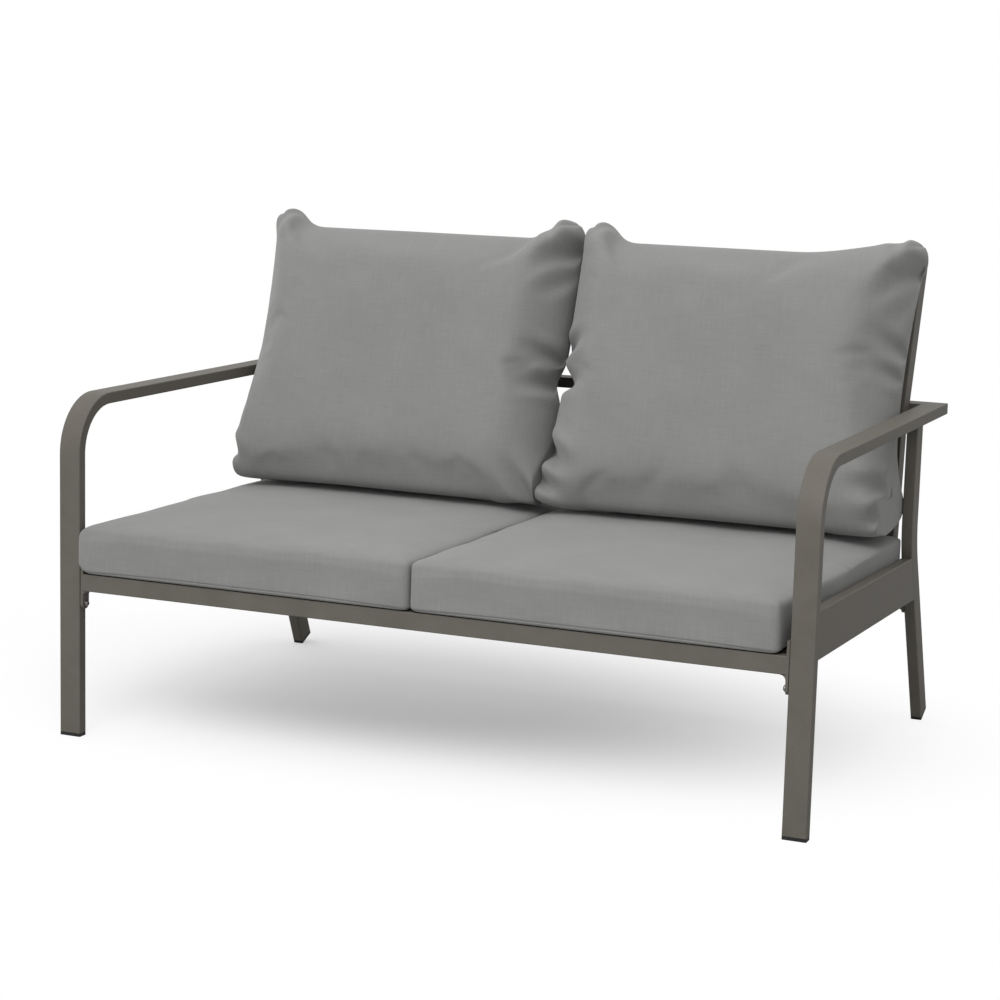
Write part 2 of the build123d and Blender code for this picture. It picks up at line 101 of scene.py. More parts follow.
# Polyester powder coat, oven cured: matt, faintly pebbled at about a millimetre, with slow drifts of tone
# where the coat lies thicker.
coat = new_material("matt_polyester_powder_coat")
place = add(coat, "ShaderNodeTexCoord")
pebble = add(coat, "ShaderNodeTexNoise", {"Vector": place.outputs["Object"], "Scale": 1 / COAT_PEBBLE,
                                          "Detail": 3.0, "Roughness": 0.6})
drift = add(coat, "ShaderNodeTexNoise", {"Vector": place.outputs["Object"], "Scale": 1 / COAT_FLOW,
                                         "Detail": 4.0})
tone = add(coat, "ShaderNodeMath", {0: drift.outputs["Fac"], 1: pebble.outputs["Fac"]}, operation="MULTIPLY")
spread = add(coat, "ShaderNodeMapRange", {"Value": tone.outputs[0], "From Min": COAT_TONES[0],
                                          "From Max": COAT_TONES[1]})
shade = add(coat, "ShaderNodeMix", {"Factor": spread.outputs[0], 6: linear(COAT_SHADE), 7: linear(COAT_GREY)},
            data_type="RGBA")
rough = add(coat, "ShaderNodeMapRange", {"Value": drift.outputs["Fac"], "To Min": COAT_ROUGHNESS[0],
                                         "To Max": COAT_ROUGHNESS[1]})
bump = add(coat, "ShaderNodeBump", {"Height": pebble.outputs["Fac"], "Strength": 0.22,
                                    "Distance": PEBBLE_HIGH})
surface(coat, add(coat, "ShaderNodeBsdfPrincipled", {
    "Base Color": shade.outputs[2], "Roughness": rough.outputs[0], "Normal": bump.outputs[0],
    "Specular IOR Level": 0.3}))

COATED = ("back_rail", "back_top_rail", "back_lower_rail", "back_slats", "front_end_plates",
          "rear_end_plates", "seat_front_rail", "seat_rear_rail", "seat_centre_bar", "seat_slats")
COATED_PAIRS = ("_arm_leg", "_rear_leg", "_side_rail", "_seat_end_bar", "_back_post", "_back_tab")
SIDES = ("left", "right")
clad(COATED, coat)
clad([side + part for side in SIDES for part in COATED_PAIRS], coat)


# Foot caps: black polyethylene, injection moulded with a fine spark-eroded grain, pushed into the legs'
# ends. The base is scuffed a little paler where it stands on paving.
CAP_BLACK = "141414"
CAP_SCUFF = "2A2927"
CAP_GRAIN = 0.0007
GRAIN_HIGH = 0.0001
SCUFF_TALL = 0.004

polyethylene = new_material("moulded_black_polyethylene")
place = add(polyethylene, "ShaderNodeTexCoord")
grain = add(polyethylene, "ShaderNodeTexNoise", {"Vector": place.outputs["Object"], "Scale": 1 / CAP_GRAIN,
                                                 "Detail": 2.0})
height = add(polyethylene, "ShaderNodeSeparateXYZ", {0: place.outputs["Object"]})
scuff = add(polyethylene, "ShaderNodeMapRange", {"Value": height.outputs["Z"], "From Min": 0.0,
                                                 "From Max": SCUFF_TALL, "To Min": 1.0, "To Max": 0.0})
worn = add(polyethylene, "ShaderNodeMath", {0: scuff.outputs[0], 1: grain.outputs["Fac"]},
           operation="MULTIPLY")
shade = add(polyethylene, "ShaderNodeMix", {"Factor": worn.outputs[0], 6: linear(CAP_BLACK),
                                            7: linear(CAP_SCUFF)}, data_type="RGBA")
bump = add(polyethylene, "ShaderNodeBump", {"Height": grain.outputs["Fac"], "Strength": 0.3,
                                            "Distance": GRAIN_HIGH})
surface(polyethylene, add(polyethylene, "ShaderNodeBsdfPrincipled", {
    "Base Color": shade.outputs[2], "Roughness": 0.5, "Normal": bump.outputs[0]}))
clad([side + end for side in SIDES for end in ("_front_cap", "_rear_cap")], polyethylene)


# Fixings: stainless button head screws, washers and rivet nuts, turned and tumbled to a satin grey, and the
# sawn aluminium blocks inside the posts' feet.
STEEL_GREY = "8C8A86"
STEEL_ROUGHNESS = 0.36
BLOCK_GREY = "B5B5B5"
BLOCK_ROUGHNESS = 0.42
ROUGHNESS_DRIFT = 0.08
TURNING = 0.0006
TURNING_HIGH = 0.00005


def satin_metal(name, colour, roughness):
    """Bare metal whose roughness wanders with fine tumbling marks."""
    metal = new_material(name)
    place = add(metal, "ShaderNodeTexCoord")
    marks = add(metal, "ShaderNodeTexNoise", {"Vector": place.outputs["Object"], "Scale": 1 / TURNING,
                                              "Detail": 3.0})
    rough = add(metal, "ShaderNodeMapRange", {"Value": marks.outputs["Fac"],
                                              "To Min": roughness - ROUGHNESS_DRIFT,
                                              "To Max": roughness + ROUGHNESS_DRIFT})
    bump = add(metal, "ShaderNodeBump", {"Height": marks.outputs["Fac"], "Strength": 0.15,
                                         "Distance": TURNING_HIGH})
    surface(metal, add(metal, "ShaderNodeBsdfPrincipled", {
        "Base Color": linear(colour), "Metallic": 1.0, "Roughness": rough.outputs[0],
        "Normal": bump.outputs[0]}))
    return metal


clad(("seat_bolts", "seat_washers", "seat_rivet_nuts", "tab_bolts", "tab_washers", "tab_rivet_nuts",
      "post_bolts", "post_washers"), satin_metal("tumbled_stainless_steel", STEEL_GREY, STEEL_ROUGHNESS))
clad([side + "_post_plug" for side in SIDES], satin_metal("sawn_aluminium", BLOCK_GREY, BLOCK_ROUGHNESS))


# Cushion cloth: solution-dyed polyester in a plain weave, two tones of grey yarn with thick and thin places
# that show as faint streaks along and across. The threads are 0.6 mm apart, drawn at 1.3 mm so that they
# show.
CLOTH_LIGHT = "888887"
CLOTH_DARK = "7C7C7A"
CLOTH_TONES = (1.1, 2.1)
THREAD = 0.0013
THREAD_HIGH = 0.0003
WEAVE_SHARE = 0.35
WAVE_SPACING = 0.1 * math.pi
SLUB_LENGTH = 0.05
SLUB_WIDTH = 0.0022
CLOTH_PATCH = 0.12

# The weave is two wave patterns at a right angle, each with a thread every WAVE_SPACING over its scale, and
# the thick and thin places are noise drawn out along either thread. It gives the eye a dull, even, faintly
# lined grey.
cloth = new_material("plain_weave_polyester_cloth")
lie = add(cloth, "ShaderNodeUVMap", uv_map="weave")
threads = []
slubs = []
for turn, stretch in ((0, (1 / SLUB_WIDTH, 1 / SLUB_LENGTH, 1)), (1, (1 / SLUB_LENGTH, 1 / SLUB_WIDTH, 1))):
    run = add(cloth, "ShaderNodeMapping", {"Vector": lie.outputs[0], "Rotation": (0, 0, turn * math.pi / 2)})
    threads.append(add(cloth, "ShaderNodeTexWave", {"Vector": run.outputs[0], "Scale": WAVE_SPACING / THREAD,
                                                    "Distortion": 0.6, "Detail": 1.0, "Detail Scale": 2.0}))
    drawn = add(cloth, "ShaderNodeMapping", {"Vector": lie.outputs[0], "Scale": stretch})
    slubs.append(add(cloth, "ShaderNodeTexNoise", {"Vector": drawn.outputs[0], "Scale": 1.0, "Detail": 2.0}))
patch = add(cloth, "ShaderNodeTexNoise", {"Vector": lie.outputs[0], "Scale": 1 / CLOTH_PATCH, "Detail": 3.0})
weave = add(cloth, "ShaderNodeMath", {0: threads[0].outputs["Fac"], 1: threads[1].outputs["Fac"]},
            operation="MULTIPLY")
streak = add(cloth, "ShaderNodeMath", {0: slubs[0].outputs["Fac"], 1: slubs[1].outputs["Fac"]},
             operation="ADD")
mottle = add(cloth, "ShaderNodeMath", {0: streak.outputs[0], 1: patch.outputs["Fac"]}, operation="ADD")
tone = add(cloth, "ShaderNodeMath", {0: weave.outputs[0], 1: WEAVE_SHARE, 2: mottle.outputs[0]},
           operation="MULTIPLY_ADD")
spread = add(cloth, "ShaderNodeMapRange", {"Value": tone.outputs[0], "From Min": CLOTH_TONES[0],
                                           "From Max": CLOTH_TONES[1]})
shade = add(cloth, "ShaderNodeMix", {"Factor": spread.outputs[0], 6: linear(CLOTH_DARK),
                                     7: linear(CLOTH_LIGHT)}, data_type="RGBA")
bump = add(cloth, "ShaderNodeBump", {"Height": weave.outputs[0], "Strength": 0.35, "Distance": THREAD_HIGH})
surface(cloth, add(cloth, "ShaderNodeBsdfPrincipled", {
    "Base Color": shade.outputs[2], "Roughness": 0.92, "Specular IOR Level": 0.2, "Sheen Weight": 0.25,
    "Sheen Roughness": 0.5, "Normal": bump.outputs[0]}))


# Seat cushions: a foam slab in a boxed cover, laid on the slats. The top panel runs down over the front,
# and a seam joins it to the underside just above the lower edge. The foam fills the cover tightly.
CELL = 0.009
SEAT_FALL = math.radians(0.7)
SEAT_ROUND = np.array([0.014, 0.014, 0.013])
SEAT_ROUND_LOW = 0.010
SEAT_ROUND_REAR = 0.004
SEAT_CROWN = 0.006
SEAT_WAIST = 0.003
SEAT_BULGE = 0.004
SEAT_SLACK = 0.0012
SLACK_LONG = 0.16
SLACK_UP = (-0.9, -0.4)
FRONT_PANEL = -0.9

# How the filling blows the cover up where it is free: on the top panel away from its left and right edges,
# and in front away from the corners. The free places are given from -1 to 1 across the cushion.
SEAT_PUFF = 0.005
TOP_FREE = (0.2, 0.7)
EDGE_HELD = (0.995, 0.945)
FRONT_FREE = (0.98, 1.0)
COVER_PRESSURE = 4.0
COVER_MASS = 0.3
COVER_STIFF = 0.5
PUFF_FRAMES = 20

# The seam lies SEAM_LOW above the lower edge on the left and right sides and rises to SEAM_HIGH in the
# middle of the front and the back. The rows of the mesh lie closest round it, and SIDE_ROWS more share out
# the side above. A point past ON_SIDE, with 1 at the side itself, belongs to that side.
SEAM_HIGH = 0.008
SEAM_LOW = 0.003
SEAM_DEEP = 0.0022
SEAM_HALF = 0.0012
SEAM_ROWS = (0, 0.002, 0.0035, 0.005, 0.0062, 0.0072, 0.008, 0.0088, 0.0098, 0.0115, 0.0145)
SIDE_ROWS = 14
SIDE_START = 0.019
ON_SIDE = 0.99

# The left cushion's front corner bulges past the leg as a lip, full to LIP_FULL behind the front and gone
# at LIP_END; LIP_TALL keeps it full over most of the height. Behind the leg both cushions fill the room up
# to the side rail. Places across and along are given from -1 to 1.
CORNER_LIP = 0.013
LIP_FULL = 0.004
LIP_END = 0.016
LIP_TALL = 1.4
LIP_ACROSS = (0.93, 0.9925)
RAIL_CLEAR = 0.0015
ROOM_ACROSS = (0.90, 1.0)
ROOM_ALONG = (-0.85, -0.15)


def slow_noise(points, wavelength, seed):
    """Smooth field mostly between -1 and 1: the mean of twelve sines of random direction, length and phase,
    times 2.2."""
    chance = np.random.default_rng(seed)
    directions = chance.normal(size=(12, 3))
    directions /= np.linalg.norm(directions, axis=1, keepdims=True)
    lengths = wavelength * chance.uniform(0.7, 1.6, 12)
    phases = chance.uniform(0, 2 * math.pi, 12)
    return np.sin(points @ (directions.T * (2 * math.pi / lengths)) + phases).mean(1) * 2.2


def corners_of(grid):
    """The four corners of each cell of a grid, in turn round the cell."""
    cells = np.stack([grid[:-1, :-1], grid[1:, :-1], grid[1:, 1:], grid[:-1, 1:]], 2)
    return cells.reshape((-1,) + grid.shape[2:])


def ease(value, start=0.0, end=1.0):
    """Smooth step from 0 at start to 1 at end: three squares less two cubes of the share of the way, held
    between 0 and 1."""
    held = np.clip((value - start) / (end - start), 0, 1)
    return held * held * (3 - 2 * held)


def bell(value):
    """1 at zero and falling away to 0 on both sides: e to the power of minus the square."""
    return np.exp(-value ** 2)


def cushion_piece(name, points, faces, flat):
    """A closed smooth mesh in the cushion cloth; flat holds each face corner's place on the cloth, in
    metres."""
    mesh = bpy.data.meshes.new(name)
    mesh.from_pydata(points.tolist(), [], faces)
    mesh.materials.append(cloth)
    mesh.shade_smooth()
    mesh.uv_layers.new(name="weave").data.foreach_set("uv", flat.astype(np.float32).ravel())
    made = bpy.data.objects.new(name, mesh)
    bpy.context.scene.collection.objects.link(made)
    return made


def points_of(mesh):
    """The mesh's vertices as an array."""
    points = np.empty(len(mesh.vertices) * 3, np.float32)
    mesh.vertices.foreach_get("co", points)
    return points.reshape(-1, 3).astype(float)


def put_points(made, points):
    """Writes an array of vertices into the piece's mesh."""
    made.data.vertices.foreach_set("co", points.astype(np.float32).ravel())
    made.data.update()


def puff(made, cap, free):
    """Blows the cover up by cloth simulation without gravity. Each point then keeps its direction, and its
    way becomes cap times the hyperbolic tangent of the way over cap, times its share in free."""
    start = points_of(made.data)
    run = made.modifiers.new("puff", "CLOTH")
    run.settings.quality = 5
    run.settings.mass = COVER_MASS
    run.settings.bending_stiffness = COVER_STIFF
    run.settings.effector_weights.gravity = 0
    run.settings.use_pressure = True
    run.settings.uniform_pressure_force = COVER_PRESSURE
    run.point_cache.frame_start = 1
    run.point_cache.frame_end = PUFF_FRAMES
    for number in range(1, PUFF_FRAMES + 1):
        bpy.context.scene.frame_set(number)
    blown = points_of(made.evaluated_get(bpy.context.evaluated_depsgraph_get()).data)
    made.modifiers.remove(run)
    bpy.context.scene.frame_set(1)
    moved = blown - start
    way = np.linalg.norm(moved, axis=1, keepdims=True)
    moved *= cap * free[:, None] * np.tanh(way / cap) / np.maximum(way, 1e-9)
    put_points(made, start + moved)


def finish_cushion(made, node):
    """One live subdivision, and the calls that tie the piece to its solid."""
    smooth = made.modifiers.new("smooth", "SUBSURF")
    smooth.levels = smooth.render_levels = 1
    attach(made, "root")
    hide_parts(node)


def shell_of_box(ticks):
    """Skin of a box from -1 to 1 whose grid lines along each axis stand at ticks: its points, its quads,
    and for each quad corner the two coordinates along its face and the number of the face's axis."""
    points, quads, flat, first = [], [], [], 0
    for axis in range(3):
        u, v = (axis + 1) % 3, (axis + 2) % 3
        along, across = np.meshgrid(ticks[u], ticks[v], indexing="ij")
        for end in (-1, 1):
            face = np.zeros(along.shape + (3,))
            face[..., axis], face[..., u], face[..., v] = end, along, across
            numbers = np.arange(along.size).reshape(along.shape) + first
            order = [0, 1, 2, 3] if end > 0 else [0, 3, 2, 1]
            quads.append(corners_of(numbers).reshape(-1, 4)[:, order])
            sides = face[..., [u, v]] if axis != 1 else face[..., [v, u]]
            flat.append(np.concatenate([corners_of(sides).reshape(-1, 4, 2)[:, order],
                                        np.full((quads[-1].shape[0], 4, 1), axis)], 2))
            points.append(face.reshape(-1, 3))
            first += along.size
    shared, where = np.unique(np.round(np.concatenate(points), 7), axis=0, return_inverse=True)
    return shared, where.reshape(-1)[np.concatenate(quads)], np.concatenate(flat)


def rolled_slab(size):
    """A box with its edges rolled over: past the core, which is the box less its roundings, each point
    keeps its direction in shares of the rounding, and its distance becomes the largest of the three. Gives
    the points, their coordinates from -1 to 1, the quads and their corners' places on the cloth."""
    half = size / 2
    rows = np.concatenate([SEAM_ROWS, np.linspace(SIDE_START, size[2], SIDE_ROWS)]) / half[2] - 1
    ticks = [np.linspace(-1, 1, round(length / CELL) + 1) for length in size[:2]] + [rows]
    unit, quads, face_places = shell_of_box(ticks)
    axis = face_places[..., 2]
    flat = face_places[..., :2] * np.stack([np.where(axis == 0, half[1], half[0]),
                                            np.where(axis == 2, half[1], half[2])], -1)
    rounds = np.tile(SEAT_ROUND, (len(unit), 1))
    rounds[unit[:, 2] < 0, 2] = SEAT_ROUND_LOW
    rounds[unit[:, 1] > 0, :2] = SEAT_ROUND_REAR
    box_points = unit * half
    core = np.clip(box_points, rounds - half, half - rounds)
    away = (box_points - core) / rounds
    distance = np.linalg.norm(away, axis=1, keepdims=True)
    away *= np.abs(away).max(1, keepdims=True) / np.maximum(distance, 1e-9)
    return core + away * rounds, unit, quads.tolist(), flat


def seat_cushion(name, node, side, lip, seed):
    """A slab with rolled edges in its solid's box, crowned on top, bowed out in front and drawn in along
    its other sides by powers of the place across; lip is how far its front corner bulges out past the leg.
    The seam is a groove low on its sides."""
    low, high = (np.array(corner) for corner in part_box(node))
    size = high - low
    size[2] = (size[2] - size[1] * math.sin(SEAT_FALL)) / math.cos(SEAT_FALL)
    half = size / 2
    points, unit, quads, flat = rolled_slab(size)
    a, b, c = unit.T
    belly = 1 - np.clip(points[:, 2] / half[2], -1, 1) ** 2
    points[:, 2] += SEAT_CROWN * ease(c, -1, 1) * ((1 - a ** 4) * (1 - b ** 4) - 1)
    points[:, 0] -= SEAT_WAIST * a ** 3 * (1 - b ** 2) * belly
    points[:, 1] -= np.where(b < 0, SEAT_BULGE, -SEAT_WAIST) * np.abs(b) ** 9 * (1 - a ** 4) * belly
    made = cushion_piece(name, points, quads, flat)
    top_free = ease(c, *TOP_FREE) * ease(np.abs(a), *EDGE_HELD)
    front_free = ease(-b, *FRONT_FREE) * belly * (1 - a ** 8)
    puff(made, SEAT_PUFF, np.maximum(top_free, front_free))

    points = points_of(made.data)
    seam = -half[2] + SEAM_LOW + (SEAM_HIGH - SEAM_LOW) * (1 - a ** 4)
    groove = SEAM_DEEP * bell((points[:, 2] - seam) / SEAM_HALF) * (np.abs(c) < 1)
    inward = np.stack([-np.sign(a) * (np.abs(a) > ON_SIDE), -np.sign(b) * (np.abs(b) > ON_SIDE), a * 0], 1)
    points += inward * groove[:, None]
    slack = slow_noise(points, SLACK_LONG, seed) * SEAT_SLACK * ease(c, *SLACK_UP)
    points[:, 2] += slack * (c > 0)
    points[:, 1] += slack * (b < FRONT_PANEL)
    at_front = ease(points[:, 1] + half[1], LIP_END, LIP_FULL) * ease(belly * LIP_TALL)
    points[:, 0] += side * lip * at_front * ease(a * side, *LIP_ACROSS)
    room = abs(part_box("right_side_rail")[0][0]) - RAIL_CLEAR - max(abs(low[0]), abs(high[0]))
    points[:, 0] += side * room * ease(a * side, *ROOM_ACROSS) * ease(points[:, 1] / half[1], *ROOM_ALONG)
    x, y, z = (points + half).T
    across, along = math.cos(SEAT_FALL), math.sin(SEAT_FALL)
    points = np.stack([x + low[0], y * across + z * along + low[1], z * across - y * along], 1)
    points[:, 2] += high[2] - size[2] * across
    put_points(made, points)
    finish_cushion(made, node)


seat_cushion("left_seat_pad", "left_seat_cushion", -1, CORNER_LIP, 11)
seat_cushion("right_seat_pad", "right_seat_cushion", 1, 0.0, 12)


# Back cushions: loose fibre in a knife-edge cover, sewn from a front and a back panel that meet in one seam
# round the edge. Each leans on the posts and sags onto the seat, its top corners stand up as ears, and its
# cover creases where it is pinched against its neighbour and the frame.
LEAN = math.radians(18.9)
RAIL_GAP = 0.0005
POST_DEEP = 0.0403
KNEE_UP = -0.046
KNEE_TURN = math.radians(12.4)
SEAT_CLEAR = 0.0006
RING_STEPS = 80
CROWDING = 0.93
CLOTH_ROUND = 1.06
SIDE_CLOTH = 0.003

# Half the thickness, the height, how far the top dips between the ears and from which share of the height,
# how far the outer side is drawn in at mid height, and half the thickness left at the seam.
BACK_HALF = 0.092
BACK_TALL = 0.544
BACK_DIP = 0.022
DIP_FROM = 0.3
BACK_WAIST = 0.014
BACK_EDGE = 0.0015

# Radii of the corners seen from in front, and how far in from each side the cushion is full. On the outer
# side that grows between two shares of the height. A larger SIDE_POWER gives thinner edges, and a larger
# PLUMP a squarer body.
BACK_CORNER = 0.040
BACK_CORNER_LOW = 0.014
BACK_SHOULDER = 0.125
BACK_SHOULDER_LOW = 0.06
BACK_SHOULDER_REAR = 0.026
BACK_SHOULDER_INNER = 0.095
SHOULDER_FROM = 0.08
SHOULDER_FULL = 0.58
SIDE_POWER = 0.6
PLUMP = 4.0

# The ears: the radius of the ball in each, the lift of its tip, and the share of half the width at which
# the top stops rising.
EAR = 0.042
EAR_RISE = 0.005
EAR_TOP = 0.90

# The foot: how far it spreads, over which share of the height and of half the width; how strongly it
# presses towards what stands beside it, from how far off and up to which height; and where its outer side
# is tucked in.
FOOT_SPREAD = 0.024
FOOT_TALL = 0.13
FOOT_FROM = 0.75
FOOT_PRESS = 0.62
FOOT_DEEP = 0.08
PRESS_EASE = 1.4
PRESS_FULL = 0.04
PRESS_END = 0.34
TUCK_UP = 0.15
TUCK_TALL = 0.24

# What the filling and the neighbours do: the puff, the slow sag of the front, the room left to the arm and
# where the cushion reaches over it, the press of the two cushions on each other, the small window that
# stays open between them, and where between seam and front a crease sets in.
BACK_PUFF = 0.016
BACK_SAG = 0.0025
SAG_LONG = 0.22
ARM_GAP = 0.0015
OVER_ARM = (0.004, 0.054)
BACK_BETWEEN = 0.0006
BACK_PRESS = 0.009
WINDOW_UP = 0.44
WINDOW_TALL = 0.055
WINDOW_DEEP = 0.0145
WINDOW_FROM = 0.7
CREASE_LIP = 0.35
CREASED = (-0.006, 0.020)

# Where the two cushions meet: share of the height, and metres right of the middle. The left ear lies over
# the right cushion's corner, and the right cushion's foot pushes in under the left one's.
MEET = ((0.0, -0.010), (0.12, -0.006), (0.25, 0.0), (0.8, 0.0), (0.88, -0.006), (0.94, 0.008), (1.0, 0.012))

# Outline of the cushion cut from front to back through its middle, from the seam below, over the front, to
# the seam on top, and the same for its back: distance from the seam, and height above the seat or below the
# top seam, all as shares of half the thickness.
FRONT_FOOT = ((0.0, 0.02), (0.60, 0.03), (0.78, 0.16), (0.92, 0.55), (1.0, 1.4))
FRONT_HEAD = ((1.0, 1.7), (0.95, 1.05), (0.84, 0.62), (0.68, 0.34), (0.45, 0.13), (0.0, 0.0))
REAR_FOOT = ((0.0, 0.02), (-0.80, 0.02), (-1.16, 0.05), (-1.36, 0.30), (-1.34, 0.75), (-1.15, 1.45),
             (-1.0, 2.2))
REAR_HEAD = ((-1.0, 1.20), (-0.93, 0.80), (-0.78, 0.48), (-0.54, 0.23), (-0.30, 0.08), (0.0, 0.0))

# The backrest's own frame starts at the back rail's upper edge and runs out from the posts and up along
# them; the seat's frame starts at the front rail and gives the level of the seat cushions' top.
rail_low, rail_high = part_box("back_rail")
back_origin = np.array([0, rail_low[1] - RAIL_GAP, rail_high[2]])
back_up = np.array([0, math.sin(LEAN), math.cos(LEAN)])
back_out = np.array([0, -math.cos(LEAN), math.sin(LEAN)])
seat_low, seat_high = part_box("seat_front_rail")
seat_up = np.array([0, math.sin(SEAT_FALL), math.cos(SEAT_FALL)])
pad_low, pad_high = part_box("left_seat_cushion")
pad_fall = (pad_high[1] - pad_low[1]) * math.sin(SEAT_FALL)
pad_tall = (pad_high[2] - pad_low[2] - pad_fall) / math.cos(SEAT_FALL)
level_origin = np.array([0, seat_low[1], seat_high[2]]) + seat_up * (pad_tall + SEAT_CLEAR)
seam_out = POST_DEEP + BACK_HALF


def seat_line(out):
    """How far up the lean the seat cushions' top is met, at the distance out from the posts' backs: the
    height left over there, divided by what each metre up the lean gains."""
    return ((level_origin - back_origin) @ seat_up - out * (back_out @ seat_up)) / (back_up @ seat_up)


back_bottom = seat_line(seam_out)
back_top = back_bottom + BACK_TALL


def place_back(local, middle):
    """From across, out and up in the backrest's own frame to the loveseat's."""
    across, out, up = local.T
    points = back_origin + out[:, None] * back_out + up[:, None] * back_up
    points[:, 0] += across + middle
    return points


def profile(foot, head):
    """Points from the lower to the upper seam, evenly spaced along the shares' polygon after its points are
    averaged with their neighbours again and again; also the polygon's rounded length."""
    out = [seam_out + share * BACK_HALF for share, _ in foot + head]
    up = [seat_line(seam_out + share * BACK_HALF) + rise * BACK_HALF for share, rise in foot]
    up += [back_top - inset * BACK_HALF for _, inset in head]
    path = np.array([out, up])
    steps = np.concatenate([[0], np.cumsum(np.hypot(*np.diff(path)))])
    even = np.linspace(0, steps[-1], 8 * RING_STEPS + 1)
    fine = np.array([np.interp(even, steps, line) for line in path])
    for _ in range(4 * RING_STEPS):
        fine[:, 1:-1] = (fine[:, :-2] + 2 * fine[:, 1:-1] + fine[:, 2:]) / 4
    steps = np.concatenate([[0], np.cumsum(np.hypot(*np.diff(fine)))])
    even = np.linspace(0, steps[-1], RING_STEPS + 1)
    return np.array([np.interp(even, steps, line) for line in fine]), steps[-1]


def fullness(share):
    """How full the cushion is at a share of the way in from its side to its shoulder: one less the square
    of the share that is left, raised to SIDE_POWER."""
    return np.maximum(1 - (1 - np.minimum(share, 1)) ** 2, 0) ** SIDE_POWER


def rounded_corners(x, up, wide, bottom, top):
    """Brings the corners seen from in front in to quarter circles: past a corner's middle each point keeps
    its direction from it, and its distance becomes the larger of its two parts."""
    corner = np.where(up < (bottom + top) / 2, BACK_CORNER_LOW, BACK_CORNER)
    core_x = np.clip(x, corner - wide / 2, wide / 2 - corner)
    core_up = np.clip(up, bottom + corner, top - corner)
    off = np.stack([x - core_x, up - core_up]) * (np.abs(x - core_x) > 0) * (np.abs(up - core_up) > 0)
    distance = np.hypot(*off)
    shrink = np.abs(off).max(0) / np.maximum(distance, 1e-9)
    return (np.where(distance > 0, core_x + off[0] * shrink, x),
            np.where(distance > 0, core_up + off[1] * shrink, up))


def sheet_faces(across, length):
    """Quads from ring to ring, and at both ends quads and two triangles across the closed ring, with each
    face corner's place on the cloth; length is the cloth's from seam to seam."""
    ring = 2 * RING_STEPS
    numbers = np.arange(len(across) * ring).reshape(-1, ring)
    faces = corners_of(np.concatenate([numbers, numbers[:, :1]], 1)).reshape(-1, 4).tolist()
    run = np.linspace(0, 2 * length, ring + 1)
    flat = [corners_of(np.stack(np.meshgrid(across * CLOTH_ROUND, run, indexing="ij"), -1)).reshape(-1, 2)]
    i = np.arange(1, RING_STEPS - 1)
    places = np.stack([np.stack([i * 0 + aside, (i + step) * CELL], 1)
                       for aside, step in ((0, 0), (0, 1), (SIDE_CLOTH, 1), (SIDE_CLOTH, 0))], 1)
    for last, order in ((numbers[0], 1), (numbers[-1], -1)):
        ladder = np.stack([last[i], last[i + 1], last[ring - i - 1], last[ring - i]], 1)
        faces += ladder[:, ::order].tolist()
        flat.append(places[:, ::order].reshape(-1, 2))
    for last, order in ((numbers[0], 1), (numbers[-1], -1)):
        for corners in ((0, 1, ring - 1), (RING_STEPS, RING_STEPS + 1, RING_STEPS - 1)):
            faces.append([int(last[n]) for n in corners][::order])
            flat.append(np.zeros((3, 2)))
    return faces, np.concatenate(flat)


